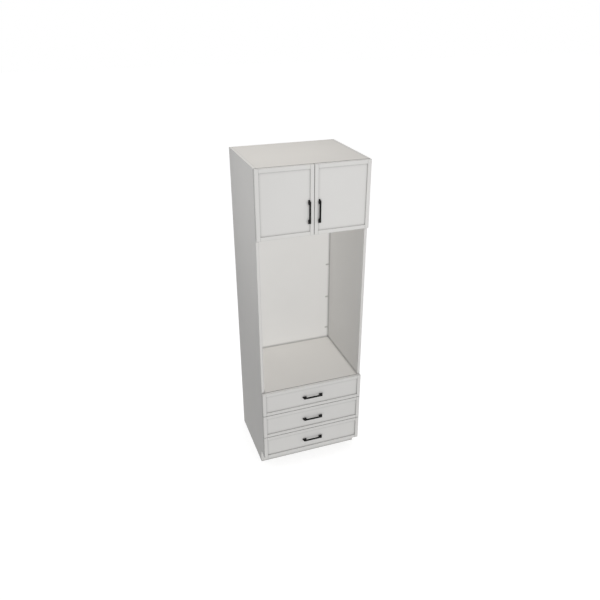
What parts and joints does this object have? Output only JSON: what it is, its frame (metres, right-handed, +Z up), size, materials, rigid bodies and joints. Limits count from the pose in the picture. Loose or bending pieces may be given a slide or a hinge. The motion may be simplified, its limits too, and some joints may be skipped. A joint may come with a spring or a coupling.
{
  "type": "tall oven cabinet",
  "caption": "Tall frameless kitchen cabinet for a built-in oven, with framed doors over an open oven bay, framed drawers below it, a recessed toe board and slim bar pulls.",
  "frame": {"origin": "on the floor, at the middle of the whole cabinet's width and depth, pulls included", "axes": "+X to the cabinet's right as seen from the front, +Y to the wall, +Z up"},
  "size_m": [0.762, 0.6508, 2.3],
  "materials": {
    "painted_board": "matt light warm grey lacquer on board",
    "painted_front": "matt light warm grey lacquer on fibreboard",
    "drawer_box_board": "clear-lacquered birch plywood",
    "matt_black_metal": "matt black powder coat",
    "runner_steel": "zinc-plated sheet steel",
    "nickel_plated_steel": "nickel plate",
    "zinc_plated_steel": "zinc plate",
    "grey_connector": "moulded grey plastic",
    "beech_dowel": "plain beech",
    "clear_bumper": "soft clear polyurethane"
  },
  "bodies": {
    "carcass": {"side_panel_left": "painted_board", "side_panel_right": "painted_board", "bottom_deck": "painted_board", "oven_shelf": "painted_board", "upper_deck": "painted_board", "top_panel": "painted_board", "back_panel": "painted_board", "toe_kick_board": "painted_board", "panel_dowels": "beech_dowel", "deck_connectors": "grey_connector", "back_connectors": "grey_connector", "hinge_plates": "nickel_plated_steel", "hinge_arms": "nickel_plated_steel", "hinge_pins": "zinc_plated_steel", "cabinet_runners": "runner_steel", "fixing_screws": "zinc_plated_steel"},
    "door_left": {"door_left_stiles": "painted_front", "door_left_rails": "painted_front", "door_left_panel": "painted_front", "door_left_pull": "matt_black_metal", "door_left_pull_screws": "zinc_plated_steel", "door_left_hinge_cups": "nickel_plated_steel", "door_left_bumpers": "clear_bumper"},
    "hinge_links_left": {"door_left_hinge_links": "nickel_plated_steel"},
    "door_right": {"door_right_stiles": "painted_front", "door_right_rails": "painted_front", "door_right_panel": "painted_front", "door_right_pull": "matt_black_metal", "door_right_pull_screws": "zinc_plated_steel", "door_right_hinge_cups": "nickel_plated_steel", "door_right_bumpers": "clear_bumper"},
    "hinge_links_right": {"door_right_hinge_links": "nickel_plated_steel"},
    "drawer_1": {"drawer_1_front_frame": "painted_front", "drawer_1_front_panel": "painted_front", "drawer_1_pull": "matt_black_metal", "drawer_1_screws": "zinc_plated_steel", "drawer_1_box_sides": "drawer_box_board", "drawer_1_box_ends": "drawer_box_board", "drawer_1_box_bottom": "drawer_box_board", "drawer_1_box_runners": "runner_steel"},
    "middle_runners_1": {"drawer_1_middle_runners": "runner_steel"},
    "drawer_2": {"drawer_2_front_frame": "painted_front", "drawer_2_front_panel": "painted_front", "drawer_2_pull": "matt_black_metal", "drawer_2_screws": "zinc_plated_steel", "drawer_2_box_sides": "drawer_box_board", "drawer_2_box_ends": "drawer_box_board", "drawer_2_box_bottom": "drawer_box_board", "drawer_2_box_runners": "runner_steel"},
    "middle_runners_2": {"drawer_2_middle_runners": "runner_steel"},
    "drawer_3": {"drawer_3_front_frame": "painted_front", "drawer_3_front_panel": "painted_front", "drawer_3_pull": "matt_black_metal", "drawer_3_screws": "zinc_plated_steel", "drawer_3_box_sides": "drawer_box_board", "drawer_3_box_ends": "drawer_box_board", "drawer_3_box_bottom": "drawer_box_board", "drawer_3_box_runners": "runner_steel"},
    "middle_runners_3": {"drawer_3_middle_runners": "runner_steel"}
  },
  "joints": [
    {"name": "door_left_hinge", "type": "hinge", "parent": "carcass", "child": "door_left", "pos_m": [-0.3742, -0.3007, 2.0725], "axis": [0, 0, -1], "range_deg": [0, 110]},
    {"name": "hinge_links_left_turn", "type": "hinge", "parent": "carcass", "child": "hinge_links_left", "pos_m": [-0.3486, -0.2933, 2.0725], "axis": [0, 0, 1], "range_deg": [0, 49.5]},
    {"name": "door_right_hinge", "type": "hinge", "parent": "carcass", "child": "door_right", "pos_m": [0.3742, -0.3007, 2.0725], "axis": [0, 0, 1], "range_deg": [0, 110]},
    {"name": "hinge_links_right_turn", "type": "hinge", "parent": "carcass", "child": "hinge_links_right", "pos_m": [0.3486, -0.2933, 2.0725], "axis": [0, 0, -1], "range_deg": [0, 49.5]},
    {"name": "drawer_1_slide", "type": "slide", "parent": "carcass", "child": "drawer_1", "axis": [0, -1, 0], "range_m": [0, 0.5588]},
    {"name": "middle_runners_1_slide", "type": "slide", "parent": "carcass", "child": "middle_runners_1", "axis": [0, -1, 0], "range_m": [0, 0.2796]},
    {"name": "drawer_2_slide", "type": "slide", "parent": "carcass", "child": "drawer_2", "axis": [0, -1, 0], "range_m": [0, 0.5588]},
    {"name": "middle_runners_2_slide", "type": "slide", "parent": "carcass", "child": "middle_runners_2", "axis": [0, -1, 0], "range_m": [0, 0.2796]},
    {"name": "drawer_3_slide", "type": "slide", "parent": "carcass", "child": "drawer_3", "axis": [0, -1, 0], "range_m": [0, 0.5588]},
    {"name": "middle_runners_3_slide", "type": "slide", "parent": "carcass", "child": "middle_runners_3", "axis": [0, -1, 0], "range_m": [0, 0.2796]}
  ],
  "couplings": [
    {"joint": "hinge_links_left_turn", "follows": "door_left_hinge", "ratio": 0.447},
    {"joint": "hinge_links_right_turn", "follows": "door_right_hinge", "ratio": 0.447},
    {"joint": "middle_runners_1_slide", "follows": "drawer_1_slide", "ratio": 0.5},
    {"joint": "middle_runners_2_slide", "follows": "drawer_2_slide", "ratio": 0.5},
    {"joint": "middle_runners_3_slide", "follows": "drawer_3_slide", "ratio": 0.5}
  ]
}
